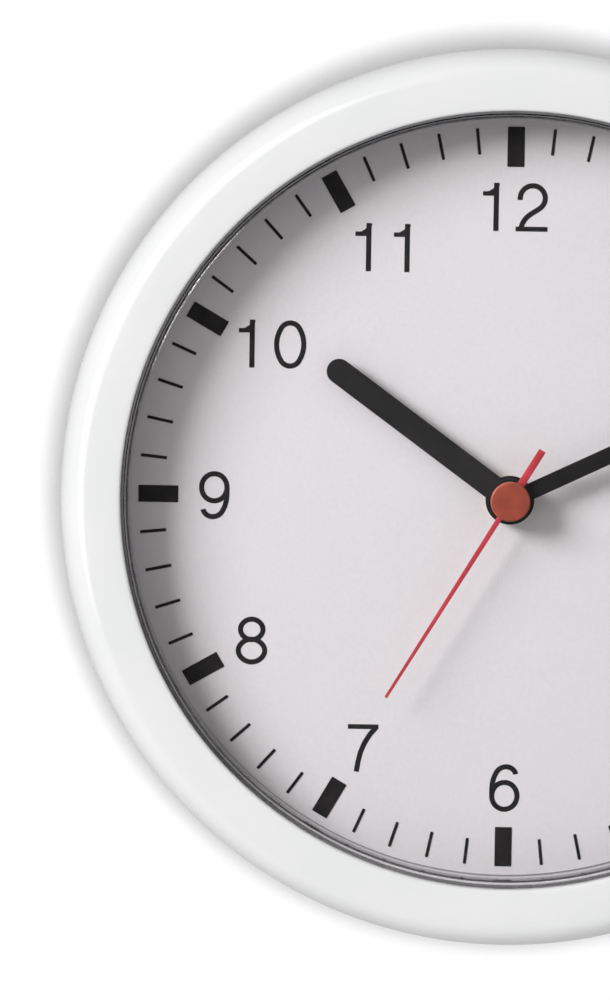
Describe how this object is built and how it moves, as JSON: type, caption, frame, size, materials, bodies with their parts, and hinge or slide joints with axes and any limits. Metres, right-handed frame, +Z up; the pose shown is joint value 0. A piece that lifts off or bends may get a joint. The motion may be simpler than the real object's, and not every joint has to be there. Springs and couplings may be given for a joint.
{
  "type": "wall clock",
  "caption": "Round analogue wall clock with a white half-round bezel, clear cup lens, printed dial, baton hands and a battery quartz movement.",
  "frame": {"origin": "the hands' axis where it meets the wall plane, which is the rear edge of the case", "axes": "the dial faces -Y, +Y points into the wall, +Z is up towards twelve o'clock, +X is to the right seen from the front"},
  "size_m": [0.25, 0.035, 0.25],
  "materials": {
    "bezel_white": "glossy moulded white plastic",
    "case_white": "satin moulded white plastic",
    "clear_lens": "polished clear polystyrene",
    "dial_card": "matt printed off-white sheet",
    "plated_steel": "nickel-plated steel",
    "brass": "turned brass",
    "black_rubber": "matt black rubber",
    "movement_black": "spark-textured black ABS",
    "gear_plastic": "natural acetal",
    "copper_wire": "enamelled copper wire",
    "board_green": "solder-masked laminate",
    "black_resin": "black epoxy",
    "sleeve_grey": "shrink sleeve in two plain bands",
    "magnet_grey": "bonded magnet",
    "hand_black": "aluminium sheet with satin black paint",
    "hand_red": "aluminium sheet with satin red paint",
    "cap_red": "brick-red moulded plastic",
    "knob_black": "black plastic"
  },
  "bodies": {
    "case": {"rear_case": "case_white", "front_bezel": "bezel_white", "lens": "clear_lens", "dial_plate": "dial_card", "case_screws": "plated_steel", "rubber_washer": "black_rubber", "fixing_washer": "brass", "fixing_nut": "brass", "movement_front": "movement_black", "movement_back": "movement_black", "gear_plate": "gear_plastic", "stator": "plated_steel", "coil_core": "plated_steel", "coil_bobbin": "gear_plastic", "coil_winding": "copper_wire", "circuit_board": "board_green", "chip_blob": "black_resin", "crystal_can": "plated_steel", "positive_contact": "plated_steel", "negative_contact": "plated_steel"},
    "battery": {"battery_can": "plated_steel", "battery_sleeve": "sleeve_grey", "battery_cap": "plated_steel"},
    "rotor": {"rotor_magnet": "magnet_grey", "rotor_pinion": "gear_plastic"},
    "fifth": {"fifth_wheel": "gear_plastic"},
    "second": {"second_wheel": "gear_plastic", "second_hand": "hand_red", "hand_cap": "cap_red"},
    "third": {"third_wheel": "gear_plastic"},
    "centre": {"centre_wheel": "gear_plastic"},
    "minute": {"cannon_pinion": "gear_plastic", "minute_hand": "hand_black"},
    "motion": {"motion_wheel": "gear_plastic"},
    "hour": {"hour_wheel": "gear_plastic", "hour_hand": "hand_black"},
    "setting": {"setting_knob": "knob_black"}
  },
  "joints": [
    {"name": "second_spin", "type": "hinge", "parent": "case", "child": "second", "pos_m": [0, -0.0086, 0], "axis": [0, 1, 0], "continuous": true},
    {"name": "minute_spin", "type": "hinge", "parent": "case", "child": "minute", "pos_m": [0, -0.013, 0], "axis": [0, 1, 0], "continuous": true},
    {"name": "rotor_spin", "type": "hinge", "parent": "case", "child": "rotor", "pos_m": [0.01673, -0.01, 0.01446], "axis": [0, 1, 0], "continuous": true},
    {"name": "fifth_spin", "type": "hinge", "parent": "case", "child": "fifth", "pos_m": [0.00916, -0.0102, 0.00916], "axis": [0, 1, 0], "continuous": true},
    {"name": "third_spin", "type": "hinge", "parent": "case", "child": "third", "pos_m": [-0.0106, -0.0068, 0.00612], "axis": [0, 1, 0], "continuous": true},
    {"name": "centre_spin", "type": "hinge", "parent": "case", "child": "centre", "pos_m": [0, -0.0116, 0], "axis": [0, 1, 0], "continuous": true},
    {"name": "motion_spin", "type": "hinge", "parent": "case", "child": "motion", "pos_m": [0.00897, -0.013, -0.00078], "axis": [0, 1, 0], "continuous": true},
    {"name": "hour_spin", "type": "hinge", "parent": "case", "child": "hour", "pos_m": [0, -0.0145, 0], "axis": [0, 1, 0], "continuous": true},
    {"name": "setting_spin", "type": "hinge", "parent": "case", "child": "setting", "pos_m": [0.01742, -0.013, -0.00386], "axis": [0, 1, 0], "continuous": true},
    {"name": "battery_slide", "type": "slide", "parent": "case", "child": "battery", "axis": [0, 1, 0], "range_m": [0, 0.02]}
  ],
  "couplings": [
    {"joint": "rotor_spin", "follows": "second_spin", "ratio": 30},
    {"joint": "fifth_spin", "follows": "second_spin", "ratio": -5},
    {"joint": "third_spin", "follows": "second_spin", "ratio": -0.13333},
    {"joint": "centre_spin", "follows": "second_spin", "ratio": 0.016667},
    {"joint": "motion_spin", "follows": "minute_spin", "ratio": -0.33333},
    {"joint": "hour_spin", "follows": "minute_spin", "ratio": 0.083333},
    {"joint": "setting_spin", "follows": "minute_spin", "ratio": 1}
  ]
}
